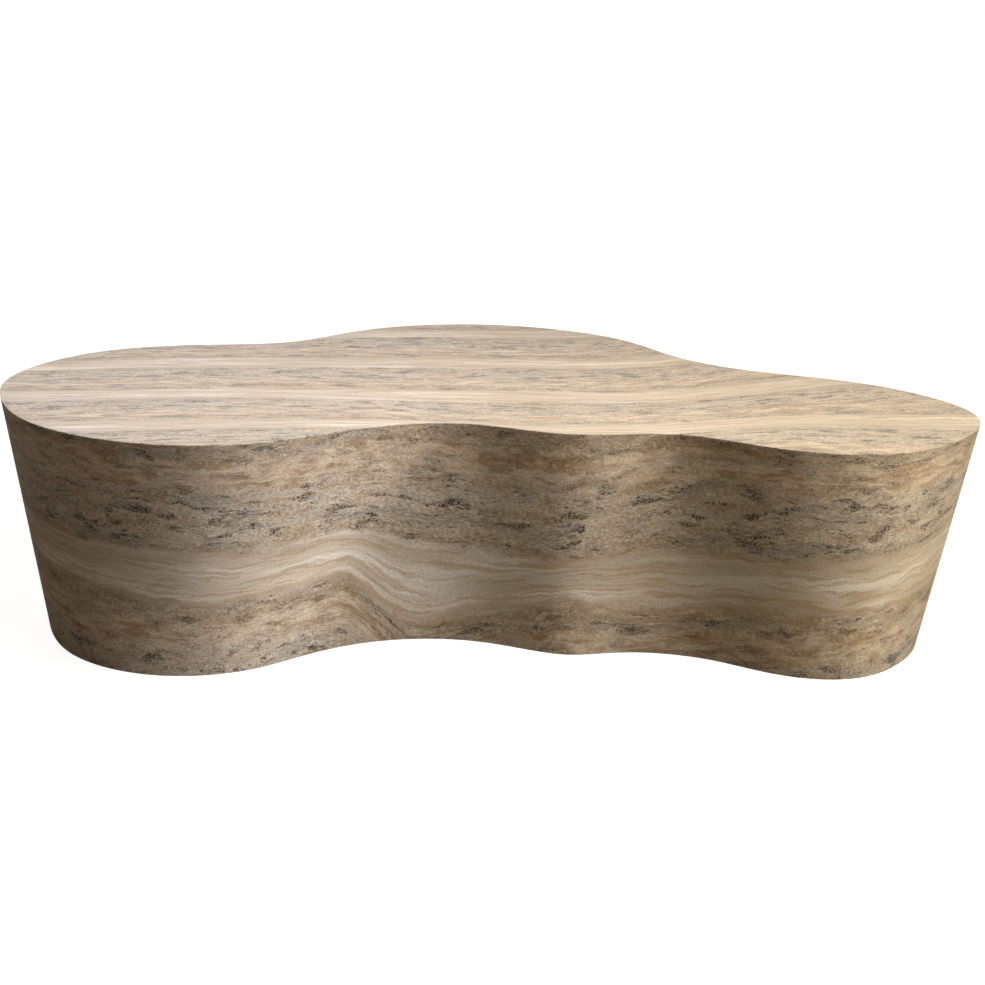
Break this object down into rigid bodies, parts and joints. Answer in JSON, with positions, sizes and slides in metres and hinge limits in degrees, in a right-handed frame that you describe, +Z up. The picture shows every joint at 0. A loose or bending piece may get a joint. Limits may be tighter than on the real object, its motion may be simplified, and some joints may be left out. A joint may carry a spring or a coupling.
{
  "type": "coffee table",
  "caption": "Low freeform plinth coffee table with a cloud-shaped top, walls that lean in towards the floor, and banded travertine-look laminate over a hollow wooden carcass on levelling feet.",
  "frame": {"origin": "on the floor under the middle of the top's length and depth", "axes": "+X along the length to the right as seen from the front, +Y towards the back, +Z up"},
  "size_m": [1.4004, 0.9013, 0.335],
  "materials": {
    "printed_laminate": "satin printed laminate with cream, tan and grey-brown travertine bands",
    "bending_plywood": "raw bendable plywood",
    "hardwood": "raw beech",
    "fibreboard": "raw medium-density fibreboard",
    "zinc_steel": "zinc-plated steel",
    "nylon": "moulded black nylon"
  },
  "bodies": {
    "carcass": {"top_laminate": "printed_laminate", "side_laminate_front": "printed_laminate", "side_laminate_back": "printed_laminate", "skin_front": "bending_plywood", "skin_back": "bending_plywood", "seam_batten_left": "hardwood", "seam_batten_right": "hardwood", "rib_dowels": "hardwood", "base_screws": "zinc_steel", "top_screws": "zinc_steel", "tee_nuts": "zinc_steel", "top_panel": "fibreboard", "upper_former": "fibreboard", "base_plate": "fibreboard", "spine": "fibreboard", "cross_rib_1": "fibreboard", "cross_rib_2": "fibreboard", "cross_rib_3": "fibreboard", "cross_rib_4": "fibreboard", "cross_rib_5": "fibreboard"},
    "foot_1_pad": {"foot_pad_1": "nylon"},
    "foot_1_stud": {"foot_stud_1": "zinc_steel"},
    "foot_2_pad": {"foot_pad_2": "nylon"},
    "foot_2_stud": {"foot_stud_2": "zinc_steel"},
    "foot_3_pad": {"foot_pad_3": "nylon"},
    "foot_3_stud": {"foot_stud_3": "zinc_steel"},
    "foot_4_pad": {"foot_pad_4": "nylon"},
    "foot_4_stud": {"foot_stud_4": "zinc_steel"},
    "foot_5_pad": {"foot_pad_5": "nylon"},
    "foot_5_stud": {"foot_stud_5": "zinc_steel"},
    "foot_6_pad": {"foot_pad_6": "nylon"},
    "foot_6_stud": {"foot_stud_6": "zinc_steel"}
  },
  "joints": [
    {"name": "foot_1_travel", "type": "slide", "parent": "carcass", "child": "foot_1_pad", "axis": [0, 0, -1], "range_m": [0, 0.01]},
    {"name": "foot_1_turn", "type": "hinge", "parent": "foot_1_pad", "child": "foot_1_stud", "pos_m": [-0.42636, -0.3168, 0.03], "axis": [0, 0, -1], "range_deg": [0, 2880]},
    {"name": "foot_2_travel", "type": "slide", "parent": "carcass", "child": "foot_2_pad", "axis": [0, 0, -1], "range_m": [0, 0.01]},
    {"name": "foot_2_turn", "type": "hinge", "parent": "foot_2_pad", "child": "foot_2_stud", "pos_m": [-0.55556, 0.01584, 0.03], "axis": [0, 0, -1], "range_deg": [0, 2880]},
    {"name": "foot_3_travel", "type": "slide", "parent": "carcass", "child": "foot_3_pad", "axis": [0, 0, -1], "range_m": [0, 0.01]},
    {"name": "foot_3_turn", "type": "hinge", "parent": "foot_3_pad", "child": "foot_3_stud", "pos_m": [0.0646, 0.30096, 0.03], "axis": [0, 0, -1], "range_deg": [0, 2880]},
    {"name": "foot_4_travel", "type": "slide", "parent": "carcass", "child": "foot_4_pad", "axis": [0, 0, -1], "range_m": [0, 0.01]},
    {"name": "foot_4_turn", "type": "hinge", "parent": "foot_4_pad", "child": "foot_4_stud", "pos_m": [0.55556, -0.05544, 0.03], "axis": [0, 0, -1], "range_deg": [0, 2880]},
    {"name": "foot_5_travel", "type": "slide", "parent": "carcass", "child": "foot_5_pad", "axis": [0, 0, -1], "range_m": [0, 0.01]},
    {"name": "foot_5_turn", "type": "hinge", "parent": "foot_5_pad", "child": "foot_5_stud", "pos_m": [0.41344, -0.28512, 0.03], "axis": [0, 0, -1], "range_deg": [0, 2880]},
    {"name": "foot_6_travel", "type": "slide", "parent": "carcass", "child": "foot_6_pad", "axis": [0, 0, -1], "range_m": [0, 0.01]},
    {"name": "foot_6_turn", "type": "hinge", "parent": "foot_6_pad", "child": "foot_6_stud", "pos_m": [0.09044, -0.19008, 0.03], "axis": [0, 0, -1], "range_deg": [0, 2880]}
  ],
  "couplings": [
    {"joint": "foot_1_turn", "follows": "foot_1_travel", "rad_per_m": 5026.5},
    {"joint": "foot_2_turn", "follows": "foot_2_travel", "rad_per_m": 5026.5},
    {"joint": "foot_3_turn", "follows": "foot_3_travel", "rad_per_m": 5026.5},
    {"joint": "foot_4_turn", "follows": "foot_4_travel", "rad_per_m": 5026.5},
    {"joint": "foot_5_turn", "follows": "foot_5_travel", "rad_per_m": 5026.5},
    {"joint": "foot_6_turn", "follows": "foot_6_travel", "rad_per_m": 5026.5}
  ]
}
